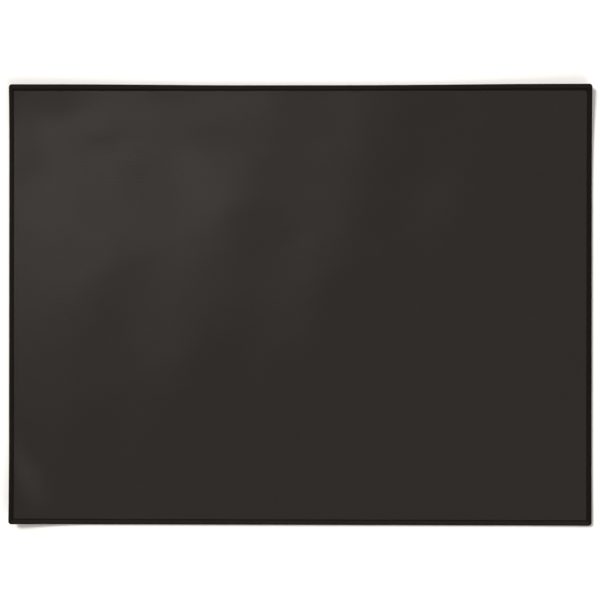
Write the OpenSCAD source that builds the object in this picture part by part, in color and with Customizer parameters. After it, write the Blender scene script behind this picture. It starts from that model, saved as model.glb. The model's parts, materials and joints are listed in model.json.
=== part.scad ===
// Desk mat: a thin laminated mat inside four mitred edge trims, with a clear
// overlay sheet that lifts along the left short side so notes can go under it.
// The origin is the middle of the footprint, on the surface the mat lies on.
// +X runs along the long sides, +Y towards the back long side and +Z up.

/* [Mat] */
// Length of the long sides, over the trims
mat_w = 530; // [420:5:650]
// Length of the short sides, over the trims
mat_d = 400; // [300:5:520]
// Outer corner radius, seen from above
corner_r = 2.8; // [1.2:0.1:4]

/* [Layers] */
// Thickness of the non-slip foam backing
foam_t = 1.2; // [1:0.1:2.5]
// Thickness of the stiffening sheet
core_t = 0.8; // [0.5:0.1:1.5]
// Thickness of the black surface sheet
cover_t = 0.4; // [0.2:0.05:0.6]
// Space between the foam and the trims' lower legs
foam_gap = 0.6; // [0.2:0.1:2]

/* [Edge trims] */
// Width of a trim, seen from above
trim_w = 4.4; // [3.5:0.1:8]
// Thickness of the wall outside the sheets' edges
trim_wall = 0.8; // [0.5:0.05:1.1]
// Thickness of the leg over the surface sheet
upper_leg_t = 0.9; // [0.7:0.05:1.2]
// Height of the trims' underside over the desk
trim_lift = 0.2; // [0.1:0.05:0.5]
// Radius of the bead along the outer top edge
bead_r = 1.1; // [0.4:0.1:1.4]
// Radius along the inner top edge
lip_r = 0.5; // [0.1:0.05:0.6]
// Radius along the outer bottom edge
hem_r = 0.5; // [0.1:0.05:0.8]

/* [Overlay] */
// Thickness of the clear film
film_t = 0.35; // [0.15:0.05:0.4]
// Air under the film when it lies flat
film_air = 0.05; // [0.02:0.01:0.1]
// Space between the film and the back trim
gap_back = 0.9; // [0.4:0.1:2]
// Space between the film and the front trim
gap_front = 0.6; // [0.4:0.1:2]
// Space between the film and the right trim
gap_right = 0.5; // [0.4:0.1:2]
// Radius of the back right corner, which is the one to lift
lift_corner_r = 3; // [1:0.5:12]
// Radius of the front right corner
plain_corner_r = 0.8; // [0.4:0.1:4]
// Distance from the left trim's inner edge to the crease
crease_in = 1.2; // [1:0.1:10]
// Space in the crease between the fixed margin and the sheet
crease_gap = 0.5; // [0.4:0.05:0.8]

/* [Hidden] */
$fn = 48;
eps = 0.5; // how far a cutting shape runs past what it cuts

cover_z = foam_t + core_t + cover_t;
mat_h = cover_z + upper_leg_t;
film_z = cover_z + film_air;
crease_z = film_z + film_t / 2;
film_top = film_z + film_t;

inner_x = mat_w / 2 - trim_w;
inner_y = mat_d / 2 - trim_w;
crease_x = -inner_x + crease_in;
film_right = inner_x - gap_right;
film_front = -inner_y + gap_front;
film_back = inner_y - gap_back;
tongue_left = -mat_w / 2 + trim_wall;
tongue_right = crease_x - film_t / 2 - crease_gap;

// A rectangle about the origin with four round corners
module round_rect(w, d, r) {
    square([w - 2 * r, d], center = true);
    square([w, d - 2 * r], center = true);
    for (x = [-1, 1], y = [-1, 1])
        translate([x * (w / 2 - r), y * (d / 2 - r)])
            circle(r);
}

// The outline that the stiff sheets share, up against the trims' walls
module sheet_outline() {
    round_rect(mat_w - 2 * trim_wall, mat_d - 2 * trim_wall, corner_r - trim_wall);
}

// What a square corner loses when it is rounded: the corner is at the origin
// and the square lies towards -X and towards y_side
module corner_waste(r, y_side) {
    difference() {
        translate([-r, y_side > 0 ? -eps : -r])
            square([r + eps, r + eps]);
        translate([-r, y_side * r])
            circle(r);
    }
}

// Section of a trim before it is slotted: x runs inwards from the outer edge, y up
module trim_section() {
    bead_y = mat_h - bead_r;
    lip_y = mat_h - lip_r;
    difference() {
        translate([0, trim_lift])
            square([trim_w, mat_h - trim_lift]);
        difference() {
            translate([-eps, bead_y])
                square([bead_r + eps, bead_r + eps]);
            translate([bead_r, bead_y])
                circle(bead_r);
        }
        difference() {
            translate([trim_w - lip_r, lip_y])
                square([lip_r + eps, lip_r + eps]);
            translate([trim_w - lip_r, lip_y])
                circle(lip_r);
        }
        difference() {
            translate([-eps, trim_lift - eps])
                square([hem_r + eps, hem_r + eps]);
            translate([hem_r, trim_lift + hem_r])
                circle(hem_r);
        }
    }
}

// A trim of a given length along X, with mitred ends and its outer edge on y = 0
module mitred_bar(length) {
    intersection() {
        translate([-length / 2, 0, 0])
            rotate([90, 0, 90])
                linear_extrude(length)
                    trim_section();
        linear_extrude(mat_h + eps)
            polygon([
                [-length / 2, 0], [length / 2, 0],
                [length / 2 - trim_w, trim_w], [-length / 2 + trim_w, trim_w]
            ]);
    }
}

// A trim in its place: turn is 0 for the front side, then goes anticlockwise
module edge_trim(turn) {
    on_long_side = turn % 180 == 0;
    length = on_long_side ? mat_w : mat_d;
    reach = (on_long_side ? mat_d : mat_w) / 2;
    difference() {
        intersection() {
            rotate([0, 0, turn])
                translate([0, -reach, 0])
                    mitred_bar(length);
            linear_extrude(mat_h + eps)
                round_rect(mat_w, mat_d, corner_r);
        }
        translate([0, 0, foam_t])
            linear_extrude(core_t + cover_t)
                sheet_outline();
    }
}

module tongue_block() {
    translate([tongue_left, film_front, cover_z])
        cube([tongue_right - tongue_left, film_back - film_front, film_top - cover_z]);
}

module foam_backing() {
    inset = trim_w + foam_gap;
    color("#262422")
        linear_extrude(foam_t)
            round_rect(mat_w - 2 * inset, mat_d - 2 * inset, 2);
}

module core_sheet() {
    color("#3b3835")
        translate([0, 0, foam_t])
            linear_extrude(core_t)
                sheet_outline();
}

module cover_sheet() {
    color("#242220")
        translate([0, 0, foam_t + core_t])
            linear_extrude(cover_t)
                sheet_outline();
}

module trim_front() {
    color("#1c1916")
        edge_trim(0);
}

module trim_right() {
    color("#1c1916")
        edge_trim(90);
}

module trim_back() {
    color("#1c1916")
        edge_trim(180);
}

// The left trim also holds the overlay's fixed margin, in a shallow recess
module trim_left() {
    color("#1c1916")
        difference() {
            edge_trim(270);
            tongue_block();
        }
}

// The margin of the film that stays put, under the left trim
module overlay_tongue() {
    color("#4a4643", 0.4)
        tongue_block();
}

// The film that lifts: a plate that ends in a round crease on the hinge line
module overlay_sheet() {
    color("#4a4643", 0.4) {
        translate([0, 0, film_z])
            linear_extrude(film_t)
                difference() {
                    translate([crease_x, film_front])
                        square([film_right - crease_x, film_back - film_front]);
                    translate([film_right, film_back])
                        corner_waste(lift_corner_r, -1);
                    translate([film_right, film_front])
                        corner_waste(plain_corner_r, 1);
                }
        translate([crease_x, film_front, crease_z])
            rotate([-90, 0, 0])
                cylinder(h = film_back - film_front, r = film_t / 2);
    }
}

foam_backing();
core_sheet();
cover_sheet();
trim_front();
trim_back();
trim_left();
trim_right();
overlay_tongue();
overlay_sheet();
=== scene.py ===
"""Looks of the desk mat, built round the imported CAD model. All lengths are in metres, in the CAD frame.

Every CAD layer and trim is flat. The real mat is thin and flexible, and its corners curl up a little,
so each CAD node is replaced by a mesh of the same size that follows one curl, from curled().
"""

import json
import math

import bpy
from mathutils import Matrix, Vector


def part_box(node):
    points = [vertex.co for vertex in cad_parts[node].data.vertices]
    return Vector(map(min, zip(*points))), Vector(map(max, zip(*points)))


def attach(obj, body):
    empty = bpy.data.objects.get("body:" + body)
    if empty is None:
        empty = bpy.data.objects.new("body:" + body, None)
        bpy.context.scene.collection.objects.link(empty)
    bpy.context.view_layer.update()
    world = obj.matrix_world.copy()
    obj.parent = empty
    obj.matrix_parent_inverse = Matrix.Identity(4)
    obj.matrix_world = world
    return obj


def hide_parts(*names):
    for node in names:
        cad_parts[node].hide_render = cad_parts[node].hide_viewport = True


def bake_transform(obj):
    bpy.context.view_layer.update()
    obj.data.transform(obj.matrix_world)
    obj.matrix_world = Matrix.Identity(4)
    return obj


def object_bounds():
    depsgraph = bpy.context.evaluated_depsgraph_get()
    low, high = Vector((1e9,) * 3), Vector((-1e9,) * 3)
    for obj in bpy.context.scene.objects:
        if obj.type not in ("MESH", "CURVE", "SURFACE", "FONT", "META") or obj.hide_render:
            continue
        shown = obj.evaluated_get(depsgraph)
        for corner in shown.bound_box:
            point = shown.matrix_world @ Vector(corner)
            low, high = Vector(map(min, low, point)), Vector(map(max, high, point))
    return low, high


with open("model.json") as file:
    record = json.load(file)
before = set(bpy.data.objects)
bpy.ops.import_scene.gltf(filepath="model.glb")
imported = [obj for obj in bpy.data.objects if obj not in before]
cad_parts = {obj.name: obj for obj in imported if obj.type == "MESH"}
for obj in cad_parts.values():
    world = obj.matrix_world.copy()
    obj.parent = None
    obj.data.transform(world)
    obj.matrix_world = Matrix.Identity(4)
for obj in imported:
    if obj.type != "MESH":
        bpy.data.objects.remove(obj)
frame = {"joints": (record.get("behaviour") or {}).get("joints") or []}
cad_low, cad_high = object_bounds()

MM = 0.001

# ---------------------------------------------------------------- sizes, from the CAD frame

core_low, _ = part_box("core_sheet")
_, cover_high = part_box("cover_sheet")
film_low, film_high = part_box("overlay_sheet")
tongue_low, tongue_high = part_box("overlay_tongue")
left_low, left_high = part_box("trim_left")

WIDTH = cad_high.x - cad_low.x
DEPTH = cad_high.y - cad_low.y
TRIM_W = left_high.x - left_low.x
TRIM_WALL = core_low.x - cad_low.x
CREASE_X = frame["joints"][0]["pos_m"][0]

# ---------------------------------------------------------------- sizes that the frame doesn't hold

CORNER_R = 2.8 * MM  # outer corners, seen from above
SHEET_CORNER_R = 2 * MM  # corners of the layers inside the trims
FOLD_END_X = CREASE_X + 16 * MM  # where the film's bend ends when it is lifted
FOLD_STEP = 1 * MM  # between the mesh lines of that bend
CORNER_ZONE = 8 * MM  # how far from a corner a trim's mesh is finer
MITRE_GROOVE = 0.12 * MM  # how far a trim's section is drawn in where it meets the next trim


# ---------------------------------------------------------------- the shape the mat has taken on

class Curl:
    """One corner that lifts: the sheet leaves the table at a straight line across the corner."""

    def __init__(self, x_side, y_side, lift, reach_x, reach_y):
        self.x_side, self.y_side = x_side, y_side
        self.lift, self.reach_x, self.reach_y = lift, reach_x, reach_y

    def share(self, x, y):
        """0 at the line where the sheet leaves the table, 1 at the corner."""
        from_x = (WIDTH / 2 - self.x_side * x) / self.reach_x
        from_y = (DEPTH / 2 - self.y_side * y) / self.reach_y
        return max(0.0, 1.0 - from_x - from_y)

    def bent(self, x, y, z):
        """How far a point z above the flat sheet's underside moves. The sheet keeps its length."""
        share = self.share(x, y)
        steep = 2 * self.lift * share
        draw = 2 / 3 * self.lift ** 2 * share ** 3
        inwards = draw + z * steep
        return Vector((
            -inwards * self.x_side / self.reach_x,
            -inwards * self.y_side / self.reach_y,
            self.lift * share ** 2,
        ))


# Lifts and reaches tuned until the shadow beside each corner looked as it does in the photo
CURLS = [
    Curl(-1, +1, lift=3.5 * MM, reach_x=217 * MM, reach_y=75 * MM),
    Curl(+1, +1, lift=5.1 * MM, reach_x=170 * MM, reach_y=100 * MM),
    Curl(-1, -1, lift=9.4 * MM, reach_x=80 * MM, reach_y=95 * MM),
    Curl(+1, -1, lift=0.9 * MM, reach_x=90 * MM, reach_y=90 * MM),
]

BOW = 0.95 * MM  # how far the back corners stick out
BOW_START = 45 * MM  # from the middle of the back edge
BOW_REACH = 170 * MM


def smooth(share):
    """0 below 0, 1 above 1, and a soft step between."""
    share = min(1.0, max(0.0, share))
    return share * share * (3 - 2 * share)


def curled(x, y, z):
    """Where a point of the flat mat goes."""
    return sum((c.bent(x, y, z) for c in CURLS), Vector((x, y, z)))


def pulled(x, y):
    """The bonded sheets and trims stick out a little more at the back corners than in the middle."""
    outwards = smooth((abs(x) - BOW_START) / BOW_REACH) * max(0.0, 2 * y / DEPTH) ** 3
    return y + BOW * outwards


# ---------------------------------------------------------------- mesh helpers

def spaced(start, stop, step):
    """Even values from start to stop, about a step apart, with both ends."""
    count = max(1, round((stop - start) / step))
    return [start + (stop - start) * k / count for k in range(count + 1)]


def set_flat_uv(mesh, places):
    """A UV map that holds each vertex's flat place in metres."""
    layer = mesh.uv_layers.new(name="Flat")
    for loop in mesh.loops:
        layer.data[loop.index].uv = places[loop.vertex_index]


def new_piece(name, verts, faces, flat_uv, material):
    """A smooth-shaded mesh with its flat UV map."""
    mesh = bpy.data.meshes.new(name)
    mesh.from_pydata([tuple(v) for v in verts], [], faces)
    set_flat_uv(mesh, flat_uv)
    for polygon in mesh.polygons:
        polygon.use_smooth = True
    mesh.materials.append(material)
    mesh.validate()
    piece = bpy.data.objects.new(name, mesh)
    bpy.context.scene.collection.objects.link(piece)
    return piece


class Rect:
    """A rectangle with its own radius at each corner: radii maps (x side, y side) to a radius."""

    CORNER_LINES = 4  # mesh lines from an edge inwards to where its largest corner ends
    ON_EDGE = 0.999  # the share of the way from a corner's centre line to the edge

    def __init__(self, low, high, radii):
        self.low, self.high, self.radii = low, high, radii

    def values(self, axis, step):
        """Grid values along an axis: closer together towards both ends, about a step apart between."""
        reach = max(self.radii.values())
        fine = [reach * (k / self.CORNER_LINES) ** 2 for k in range(self.CORNER_LINES)]
        low, high = self.low[axis], self.high[axis]
        middle = spaced(low + reach, high - reach, step)
        return [low + f for f in fine] + middle + [high - f for f in fine[::-1]]

    def placed(self, x, y, inset):
        """Where a grid point goes: round its corner, and inset from the outline."""
        x_side = 1 if x > (self.low.x + self.high.x) / 2 else -1
        y_side = 1 if y > (self.low.y + self.high.y) / 2 else -1
        r = self.radii[x_side, y_side]
        centre_x = self.high.x - r if x_side > 0 else self.low.x + r
        centre_y = self.high.y - r if y_side > 0 else self.low.y + r
        a = (x - centre_x) * x_side / r
        b = (y - centre_y) * y_side / r
        if a > 0 and b > 0:
            reach_x = (r - inset) * a * math.sqrt(1 - b * b / 2)
            reach_y = (r - inset) * b * math.sqrt(1 - a * a / 2)
            return centre_x + x_side * reach_x, centre_y + y_side * reach_y
        if a > self.ON_EDGE:
            x -= x_side * inset
        if b > self.ON_EDGE:
            y -= y_side * inset
        return x, y


def even_radii(r):
    """The same radius at every corner."""
    return {(x_side, y_side): r for x_side in (-1, 1) for y_side in (-1, 1)}


def rim_indices(nx, ny):
    """The border of an nx by ny grid, anticlockwise, as (i, j)."""
    front = [(i, 0) for i in range(nx - 1)]
    right = [(nx - 1, j) for j in range(ny - 1)]
    back = [(i, ny - 1) for i in range(nx - 1, 0, -1)]
    left = [(0, j) for j in range(ny - 1, 0, -1)]
    return front + right + back + left


def edge_rings(z_low, z_high, edge_r):
    """(inset, z) down a sheet's rounded edge, from its top face to its bottom face."""
    angles = (0, math.pi / 4, math.pi / 2)
    arc = [(edge_r * (1 - math.sin(a)), edge_r * (1 - math.cos(a))) for a in angles]
    upper = [(inset, z_high - drop) for inset, drop in arc]
    lower = [(inset, z_low + drop) for inset, drop in reversed(arc)]
    return upper + lower


def slab(name, rect, z_low, z_high, step, edge_r, material, rise=None, fold=None):
    """A closed sheet with rounded edges: bonded to the mat, or loose on it with rise(x, y) below it.

    Between the two x values of fold, the mesh is fine enough to bend tightly.
    """
    rings = edge_rings(z_low, z_high, edge_r)
    xs, ys = rect.values(0, step), rect.values(1, step)
    if fold:
        outside = [x for x in xs if not fold[0] <= x <= fold[1]]
        xs = sorted(outside + spaced(*fold, FOLD_STEP))
    rim = rim_indices(len(xs), len(ys))
    on_rim = set(rim)
    verts, uvs, faces = [], [], []

    def add(i, j, inset, z):
        x, y = rect.placed(xs[i], ys[j], inset)
        verts.append(curled(x, y, z + rise(x, y)) if rise else curled(x, pulled(x, y), z))
        uvs.append((x, y))
        return len(verts) - 1

    def face_grid(inset, z, flip):
        """The top or bottom face. Gives back its border."""
        at = {}
        for i in range(len(xs)):
            for j in range(len(ys)):
                at[i, j] = add(i, j, inset if (i, j) in on_rim else 0.0, z)
        for i in range(len(xs) - 1):
            for j in range(len(ys) - 1):
                quad = [at[i, j], at[i + 1, j], at[i + 1, j + 1], at[i, j + 1]]
                faces.append(quad[::-1] if flip else quad)
        return [at[k] for k in rim]

    loops = [face_grid(*rings[0], flip=False)]
    loops += [[add(i, j, inset, z) for i, j in rim] for inset, z in rings[1:-1]]
    loops.append(face_grid(*rings[-1], flip=True))
    for upper, lower in zip(loops, loops[1:]):
        for k in range(len(upper)):
            after = (k + 1) % len(upper)
            faces.append([upper[after], upper[k], lower[k], lower[after]])
    return new_piece(name, verts, faces, uvs, material)


def arc_points(centre_u, centre_z, r, start, stop, steps):
    """Points on an arc in the section plane, with angles in degrees from the inward direction."""
    points = []
    for k in range(steps + 1):
        a = math.radians(start + (stop - start) * k / steps)
        points.append((centre_u + r * math.cos(a), centre_z + r * math.sin(a)))
    return points


def dome_points(start_u, stop_u, z, height, steps):
    """Points of a low dome over a straight line, without the line's own ends."""
    points = []
    for k in range(1, steps):
        across = k / steps
        u = start_u + (stop_u - start_u) * across
        points.append((u, z + height * (1 - (2 * across - 1) ** 2)))
    return points


def trim_section(slot_top):
    """A trim's section, anticlockwise from inside its slot: u runs inwards from the outer edge, then z."""
    bead_r, lip_r, hem_r, foot_r = 1.1 * MM, 0.35 * MM, 0.5 * MM, 0.25 * MM
    crown = 0.1 * MM
    shoulder = cad_high.z - crown
    bottom = left_low.z
    return (
        [(TRIM_WALL, slot_top), (TRIM_W, slot_top)]
        + arc_points(TRIM_W - lip_r, shoulder - lip_r, lip_r, 0, 90, 4)
        + dome_points(TRIM_W - lip_r, bead_r, shoulder, crown, 8)
        + arc_points(bead_r, shoulder - bead_r, bead_r, 90, 180, 7)
        + arc_points(hem_r, bottom + hem_r, hem_r, 180, 270, 4)
        + arc_points(TRIM_W - foot_r, bottom + foot_r, foot_r, 270, 360, 3)
        + [(TRIM_W, core_low.z), (TRIM_WALL, core_low.z)]
    )


def shrunk(section, by):
    """The section with its outline drawn in, for the groove where two trims meet."""
    out = []
    for k, (u, z) in enumerate(section):
        (au, az), (bu, bz) = section[k - 1], section[(k + 1) % len(section)]
        du, dz = bu - au, bz - az
        size = math.hypot(du, dz)
        out.append((u - by * dz / size, z + by * du / size))
    return out


def near_corner(u, share):
    """(s, u) of a line of the section, from the mitre (share 0) round the corner to the straight part."""
    r = max(0.0, CORNER_R - u)
    start = max(CORNER_R, u)
    bend = r * math.pi / 4
    far = share * (bend + CORNER_ZONE - start)
    if far < bend:
        a = math.pi / 4 - far / r
        return CORNER_R - r * math.sin(a), CORNER_R - r * math.cos(a)
    return start + far - bend, u


def trim(name, length, to_world, slot_top, material):
    """A trim from mitre to mitre. to_world turns (s along the edge, u inwards) into (x, y).

    Its flat place is s, and the way round the section from the crown.
    """
    full = trim_section(slot_top)
    drawn_in = shrunk(full, MITRE_GROOVE)
    girths = [sum(math.dist(full[i], full[i + 1]) for i in range(k)) for k in range(len(full))]
    crown = max(range(len(full)), key=lambda k: full[k][1])
    corner_shares = [0.0, 0.035, 0.1, 0.2, 0.3, 0.4, 0.5, 0.65, 0.8, 1.0]  # 0 at the mitre
    straight_step = 5 * MM
    middle = spaced(CORNER_ZONE, length - CORNER_ZONE, straight_step)[1:-1]
    verts, uvs, faces = [], [], []

    def station(place):
        for k in range(len(full)):
            s, u, z = place(k)
            x, y = to_world(s, u)
            verts.append(curled(x, pulled(x, y), z))
            uvs.append((s, girths[k] - girths[crown]))

    def corner(share, far_end):
        def place(k):
            u, z = drawn_in[k] if share == 0 else full[k]
            s, u = near_corner(u, share)
            return (length - s if far_end else s), u, z
        return place

    for share in corner_shares:
        station(corner(share, False))
    for s in middle:
        station(lambda k, s=s: (s, *full[k]))
    for share in reversed(corner_shares):
        station(corner(share, True))

    n = len(full)
    rows = len(verts) // n
    for row in range(rows - 1):
        for k in range(n):
            a, b = row * n + k, row * n + (k + 1) % n
            faces.append([a, b, b + n, a + n])
    faces.append(list(range(n))[::-1])
    faces.append(list(range((rows - 1) * n, rows * n)))
    return new_piece(name, verts, faces, uvs, material)


# ---------------------------------------------------------------- node helpers

class Nodes:
    """A short way to write the nodes of a material or of the world."""

    # The Mix node's colour sockets share their names with its number sockets, so they go by index.
    MIX_FACTOR, MIX_A, MIX_B, MIX_OUT = 0, 6, 7, 2

    def __init__(self, tree):
        self.tree = tree

    def add(self, kind, settings=None, **inputs):
        """A node with its settings and inputs. An input is a value or another node's output."""
        node = self.tree.nodes.new("ShaderNode" + kind)
        for key, value in (settings or {}).items():
            setattr(node, key, value)
        for key, value in inputs.items():
            self.put(node.inputs[key.replace("_", " ")], value)
        return node

    def put(self, socket, value):
        """Sets a socket to a value, or links another node's output to it."""
        if isinstance(value, bpy.types.NodeSocket):
            self.tree.links.new(value, socket)
        else:
            socket.default_value = value

    def calculated(self, operation, *values):
        node = self.add("Math", {"operation": operation})
        for socket, value in zip(node.inputs, values):
            self.put(socket, value)
        return node.outputs[0]

    def vector_calculated(self, operation, *values):
        node = self.add("VectorMath", {"operation": operation})
        for socket, value in zip(node.inputs, values):
            self.put(socket, value)
        return node

    def flat_place(self, scale):
        """The flat UV place in metres, scaled, so that a pattern stays put when the sheet bends."""
        uv = self.add("UVMap", {"uv_map": "Flat"})
        scaled = self.vector_calculated("SCALE", uv.outputs["UV"])
        scaled.inputs["Scale"].default_value = scale
        return scaled.outputs["Vector"]

    def noise(self, per_metre, detail=3.0, roughness=0.5):
        """Soft noise with about per_metre features to a metre."""
        node = self.add("TexNoise", Vector=self.flat_place(per_metre), Scale=1.0, Detail=detail,
                        Roughness=roughness)
        return node.outputs["Fac"]

    def ranged(self, value, low, high, new_low, new_high):
        node = self.add("MapRange", Value=value, From_Min=low, From_Max=high,
                        To_Min=new_low, To_Max=new_high)
        return node.outputs["Result"]

    def spread(self, noise, low, high):
        """A noise's usual values, 0.3 to 0.7, spread over low to high."""
        return self.ranged(noise, 0.3, 0.7, low, high)

    def mixed_colour(self, factor, a, b):
        """From colour a to colour b by factor."""
        node = self.add("Mix", {"data_type": "RGBA"})
        self.put(node.inputs[self.MIX_FACTOR], factor)
        self.put(node.inputs[self.MIX_A], a)
        self.put(node.inputs[self.MIX_B], b)
        return node.outputs[self.MIX_OUT]

    def mixed_shader(self, factor, a, b):
        """From shader a to shader b by factor."""
        node = self.add("MixShader", Fac=factor)
        self.put(node.inputs[1], a.outputs[0])
        self.put(node.inputs[2], b.outputs[0])
        return node

    def bump(self, height, strength, distance, **normal):
        node = self.add("Bump", Height=height, Strength=strength, Distance=distance, **normal)
        return node.outputs["Normal"]


def material_nodes(name):
    """A new material, and its nodes with nothing in them yet."""
    material = bpy.data.materials.new(name)
    material.use_nodes = True
    material.node_tree.nodes.clear()
    return material, Nodes(material.node_tree)


def surfaced(material, nodes, shader):
    """The material, with the shader as its surface."""
    output = nodes.add("OutputMaterial")
    nodes.put(output.inputs["Surface"], shader.outputs[0])
    return material


# ---------------------------------------------------------------- materials

def trim_material(name, crown_highlight_and_wear):
    """Soft black vinyl with a fine grain. Its crown is painted lighter by the last argument: partly wear,
    partly a painted highlight of the light that falls on the bead.
    """
    black, faded = (0.0063, 0.0045, 0.0035, 1), (0.0073, 0.0052, 0.0041, 1)
    # painted highlight and wear: the paler colour that the crown is lightened towards
    highlight_and_wear_colour = (0.0178, 0.0133, 0.0113, 1)
    full_highlight_and_wear_to, no_highlight_and_wear_from = 0.5 * MM, 2.4 * MM  # from the crown, round the section
    material, n = material_nodes(name)
    patches = n.noise(22, detail=4.0)
    vinyl = n.mixed_colour(patches, black, faded)
    round_section = n.add("SeparateXYZ", Vector=n.flat_place(1.0)).outputs["Y"]
    from_crown = n.calculated("ABSOLUTE", round_section)
    # painted highlight and wear on the crown, fading round the section, as strong as the last argument says
    highlight_and_wear_there = n.ranged(from_crown, full_highlight_and_wear_to, no_highlight_and_wear_from, crown_highlight_and_wear, 0.0)
    uneven_highlight_and_wear = n.calculated("MULTIPLY", highlight_and_wear_there, n.spread(n.noise(35), 0.7, 1.0))
    colour = n.mixed_colour(uneven_highlight_and_wear, vinyl, highlight_and_wear_colour)
    grain = n.noise(1500, roughness=0.6)
    normal = n.bump(grain, strength=0.9, distance=0.12 * MM)
    roughness = n.spread(patches, 0.5, 0.6)
    shader = n.add("BsdfPrincipled", Base_Color=colour, Roughness=roughness, Specular_IOR_Level=0.05,
                   Normal=normal)
    return surfaced(material, n, shader)


def cover_material():
    """The black writing surface: a fine pebbled emboss, a little paler on the pebbles' worn tops."""
    black, worn_top = (0.0052, 0.0042, 0.0033, 1), (0.009, 0.0073, 0.006, 1)
    material, n = material_nodes("cover_emboss")
    pebbles = n.add("TexVoronoi", {"feature": "SMOOTH_F1", "voronoi_dimensions": "2D"},
                    Vector=n.flat_place(1400), Scale=1.0, Smoothness=0.6)
    from_centre = pebbles.outputs["Distance"]
    tops = n.ranged(from_centre, 0.0, 0.7, 1.0, 0.0)
    worn = n.calculated("MULTIPLY", tops, n.spread(n.noise(15), 0.6, 1.0))
    colour = n.mixed_colour(worn, black, worn_top)
    normal = n.bump(from_centre, strength=0.9, distance=-0.15 * MM)
    shader = n.add("BsdfPrincipled", Base_Color=colour, Roughness=0.6, Specular_IOR_Level=0.05,
                   Normal=normal)
    return surfaced(material, n, shader)


def film_material():
    """Glare-free clear film: a little haze, a soft sheen, and a very fine matt grain."""
    haze_dark, haze_pale = (0.145, 0.129, 0.119, 1), (0.159, 0.141, 0.13, 1)
    material, n = material_nodes("film_clear")
    normal = n.bump(n.noise(3200, detail=2.0), strength=0.15, distance=0.02 * MM)
    clouds = n.noise(9, detail=2.0, roughness=0.4)
    haze = n.add("BsdfDiffuse", Color=n.mixed_colour(clouds, haze_dark, haze_pale), Normal=normal)
    clear = n.add("BsdfTransparent", Color=(0.97, 0.965, 0.96, 1))
    haze_share = 0.056
    hazy = n.mixed_shader(haze_share, clear, haze)
    roughness = n.ranged(n.noise(17, detail=2.0), 0.35, 0.65, 0.14, 0.19)
    sheen = n.add("BsdfAnisotropic", {"distribution": "BECKMANN"}, Color=(1, 0.94, 0.9, 1),
                  Roughness=roughness, Normal=normal)
    fresnel = n.add("Fresnel", IOR=1.45, Normal=normal).outputs[0]
    backfacing = n.add("NewGeometry").outputs["Backfacing"]
    outside_only = n.calculated("SUBTRACT", fresnel, backfacing)
    outside_only.node.use_clamp = True
    return surfaced(material, n, n.mixed_shader(outside_only, hazy, sheen))


def foam_material():
    """Closed-cell foam: small pores of uneven size in dark grey."""
    dark, pale = (0.028, 0.026, 0.025, 1), (0.045, 0.042, 0.04, 1)
    material, n = material_nodes("foam_cells")
    cells = n.add("TexVoronoi", {"feature": "F1", "voronoi_dimensions": "2D"},
                  Vector=n.flat_place(1100), Scale=1.0)
    colour = n.mixed_colour(n.noise(40, detail=4.0), dark, pale)
    coarse = n.bump(cells.outputs["Distance"], strength=0.8, distance=0.15 * MM)
    fine = n.noise(2600, detail=2.0)
    normal = n.bump(fine, strength=0.4, distance=0.05 * MM, Normal=coarse)
    shader = n.add("BsdfPrincipled", Base_Color=colour, Roughness=0.9, Normal=normal)
    return surfaced(material, n, shader)


def core_material():
    """Grey fibrous board, seen only in the thin gap between the foam and the trims."""
    dark, pale = (0.035, 0.033, 0.031, 1), (0.07, 0.066, 0.062, 1)
    material, n = material_nodes("core_board")
    noise = n.add("TexNoise", Vector=n.flat_place(300), Scale=1.0, Detail=6.0, Distortion=1.5)
    fibres = noise.outputs["Fac"]
    colour = n.mixed_colour(fibres, dark, pale)
    normal = n.bump(fibres, strength=0.3, distance=0.05 * MM)
    shader = n.add("BsdfPrincipled", Base_Color=colour, Roughness=0.8, Normal=normal)
    return surfaced(material, n, shader)


def floor_material():
    """Plain white, a trace uneven."""
    white, whiter = (0.9, 0.9, 0.9, 1), (0.92, 0.92, 0.92, 1)
    material, n = material_nodes("table_white")
    colour = n.mixed_colour(n.noise(3, detail=2.0), white, whiter)
    shader = n.add("BsdfPrincipled", Base_Color=colour, Roughness=0.7)
    return surfaced(material, n, shader)


# ---------------------------------------------------------------- pieces

def bonded_sheet(name, node, step, edge_r, material):
    """A layer that stays with the mat, of the size of its CAD node."""
    low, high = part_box(node)
    rect = Rect(low, high, even_radii(SHEET_CORNER_R))
    piece = slab(name, rect, low.z, high.z, step, edge_r, material)
    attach(piece, "mat")
    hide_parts(node)
    return piece


def wave(x, y, per_x, per_y, phase=0.0):
    """A sine over the film. Its angle grows by per_x and per_y radians to a metre."""
    return math.sin(x * per_x + y * per_y + phase)


def film_ripple(x, y):
    """How far the loose film stands off the surface: soft waves that die out at the crease.

    The numbers beside x and y are radians to a metre. They were tuned by trial, with ceiling_patch(),
    until the clouds on the film looked much as they do in the photo.
    """
    wave_height, ridge_height, dent_height = 0.2 * MM, 0.08 * MM, 0.03 * MM
    ridges_start_y, ridge_y, fade = 70 * MM, 140 * MM, 40 * MM
    waves = 1.5 + wave(x, y, 57, -16, 0.28) + 0.5 * wave(x, y, 24, -43, 1.1)
    ridges = 1 + smooth((y - ridges_start_y) / fade) * math.cos((y - ridge_y) * 114)
    dents = 1 + math.sin(x * 130 + 2 * math.sin(y * 60)) * math.cos(y * 110 + x * 40)
    height = wave_height * waves + ridge_height * ridges + dent_height * dents
    return height * smooth((x - CREASE_X) / fade)


def overlay_film():
    """The whole film in one piece: its fixed margin and the part that lifts."""
    low = Vector((tongue_low.x, film_low.y))
    high = Vector((film_high.x, film_high.y))
    margin_r, plain_r, lifting_r = 0.4 * MM, 0.8 * MM, 3 * MM
    radii = {(-1, -1): margin_r, (-1, 1): margin_r, (1, -1): plain_r, (1, 1): lifting_r}
    piece = slab("overlay_film", Rect(low, high, radii), film_low.z, film_high.z, step=4 * MM,
                 edge_r=0.1 * MM, material=film_material(), rise=film_ripple,
                 fold=(CREASE_X, FOLD_END_X))
    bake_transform(piece)
    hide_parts("overlay_sheet", "overlay_tongue")


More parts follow.
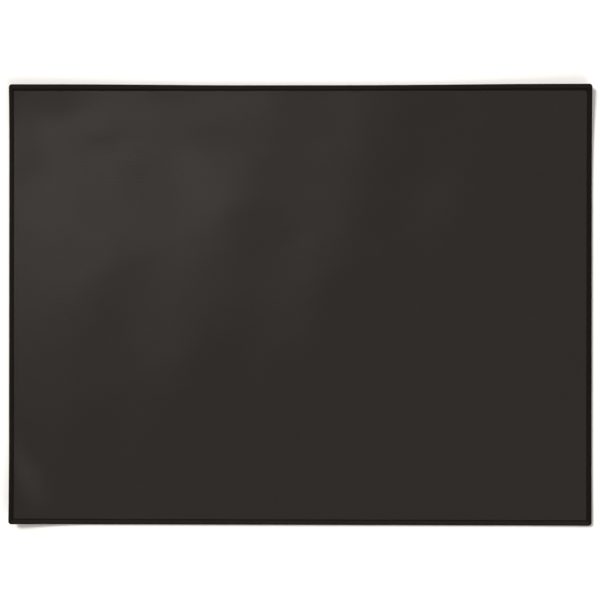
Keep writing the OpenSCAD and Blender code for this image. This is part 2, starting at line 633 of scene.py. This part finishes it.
def edge_trims():
    """The four trims. The last number is how much lighter each one's crown is painted, tuned until that side
    was as light as in the photo.

    That lightening is partly wear and partly a painted highlight of the light that falls on the bead, so the
    four trims are lit copies of one vinyl.
    """
    half_w, half_d = WIDTH / 2, DEPTH / 2
    sides = {
        # the last number on each side: how much lighter its crown is painted, partly wear and partly painted
        # highlight
        "front": (WIDTH, lambda s, u: (-half_w + s, -half_d + u), cover_high.z, 1.0),
        "back": (WIDTH, lambda s, u: (half_w - s, half_d - u), cover_high.z, 0.4),
        "left": (DEPTH, lambda s, u: (-half_w + u, half_d - s), tongue_high.z, 0.1),
        "right": (DEPTH, lambda s, u: (half_w - u, -half_d + s), cover_high.z, 0.08),
    }
    for side, (length, to_world, slot_top, crown_highlight_and_wear) in sides.items():
        vinyl = trim_material("trim_vinyl_" + side, crown_highlight_and_wear)
        piece = trim("edge_" + side, length, to_world, slot_top, vinyl)
        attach(piece, "mat")
        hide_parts("trim_" + side)


foam = bonded_sheet("foam_underside", "foam_backing", step=5 * MM, edge_r=0.3 * MM,
                    material=foam_material())
bonded_sheet("core_board", "core_sheet", step=5 * MM, edge_r=0.05 * MM,
             material=core_material())
bonded_sheet("surface_sheet", "cover_sheet", step=4 * MM, edge_r=0.05 * MM,
             material=cover_material())
edge_trims()
overlay_film()


# ---------------------------------------------------------------- table, light and camera

def table_top():
    """A square table, far larger than the view and just below the mat."""
    half, drop = 30.0, 0.3 * MM
    mesh = bpy.data.meshes.new("table_top")
    corners = [(-half, -half), (half, -half), (half, half), (-half, half)]
    mesh.from_pydata([(x, y, -drop) for x, y in corners], [], [[0, 1, 2, 3]])
    set_flat_uv(mesh, corners)
    mesh.materials.append(floor_material())
    floor = bpy.data.objects.new("table_top", mesh)
    bpy.context.scene.collection.objects.link(floor)


def soft_sun(name, towards, spread, strength):
    """A large far-off light in the direction towards, so that the whole table is lit evenly."""
    warm = (1.0, 0.96, 0.92)
    light = bpy.data.lights.new(name, "SUN")
    light.angle = spread
    light.energy = strength
    light.color = warm
    lamp = bpy.data.objects.new(name, light)
    lamp.rotation_euler = (-Vector(towards)).to_track_quat("-Z", "Y").to_euler()
    bpy.context.scene.collection.objects.link(lamp)


def room_colours(n, direction):
    """Near-white at the horizon, pale walls above it, and a dark ceiling."""
    horizon, wall, ceiling = (0.98, 0.97, 0.96, 1), (0.83, 0.8, 0.77, 1), (0.125, 0.12, 0.115, 1)
    wall_height, ceiling_height = 0.3, 0.75  # the upward part of a direction that is 1 long
    height = n.add("SeparateXYZ", Vector=direction).outputs["Z"]
    ramp = n.add("ValToRGB", Fac=height)
    first, last = ramp.color_ramp.elements
    first.color = horizon
    last.color = ceiling
    last.position = ceiling_height
    ramp.color_ramp.elements.new(wall_height).color = wall
    return ramp.outputs["Color"]


def ceiling_patch(n, direction):
    """A soft oval of light, turned a little, that the wavy film mirrors as a cloudy sheen.

    It is as large as its half length and half width say where a direction is 1 long.
    """
    middle_x, middle_y, turn = -0.135, 0.07, math.radians(20)
    half_length, half_width = 0.235, 0.108
    any_height = 1000  # so large that only the sideways part of a direction counts
    brightness = 0.8
    placed = n.add("Mapping", {"vector_type": "TEXTURE"}, Vector=direction,
                   Location=(middle_x, middle_y, 0), Rotation=(0, 0, turn),
                   Scale=(half_length, half_width, any_height))
    from_middle = n.vector_calculated("LENGTH", placed.outputs["Vector"]).outputs["Value"]
    light = n.add("MapRange", {"interpolation_type": "SMOOTHSTEP"}, Value=from_middle,
                  To_Min=brightness, To_Max=0.0)
    return light.outputs["Result"]


def studio_world():
    """The room that the film and the trims mirror."""
    world = bpy.data.worlds.new("studio")
    world.use_nodes = True
    n = Nodes(world.node_tree)
    direction = n.add("TexCoord").outputs["Generated"]
    both = n.vector_calculated("ADD", room_colours(n, direction), ceiling_patch(n, direction))
    n.put(world.node_tree.nodes["Background"].inputs["Color"], both.outputs["Vector"])
    bpy.context.scene.world = world


def overhead_camera():
    """Looks almost straight down at the middle of the mat, from a hair to its right."""
    height = 1.5
    turns_in_degrees = (0.06, 0.77, 0.06)
    data = bpy.data.cameras.new("camera")
    data.sensor_width = 36
    data.lens = 98.8
    camera = bpy.data.objects.new("camera", data)
    camera.location = (20.4 * MM, 3 * MM, height)
    camera.rotation_euler = [math.radians(turn) for turn in turns_in_degrees]
    bpy.context.scene.collection.objects.link(camera)
    bpy.context.scene.camera = camera


table_top()
soft_sun("key", towards=(-0.63, 0.49, 1), spread=0.28, strength=2.9)
soft_sun("fill", towards=(0.56, -1.28, 1), spread=0.52, strength=1.02)
studio_world()
overhead_camera()
bpy.context.scene.view_settings.view_transform = "Standard"
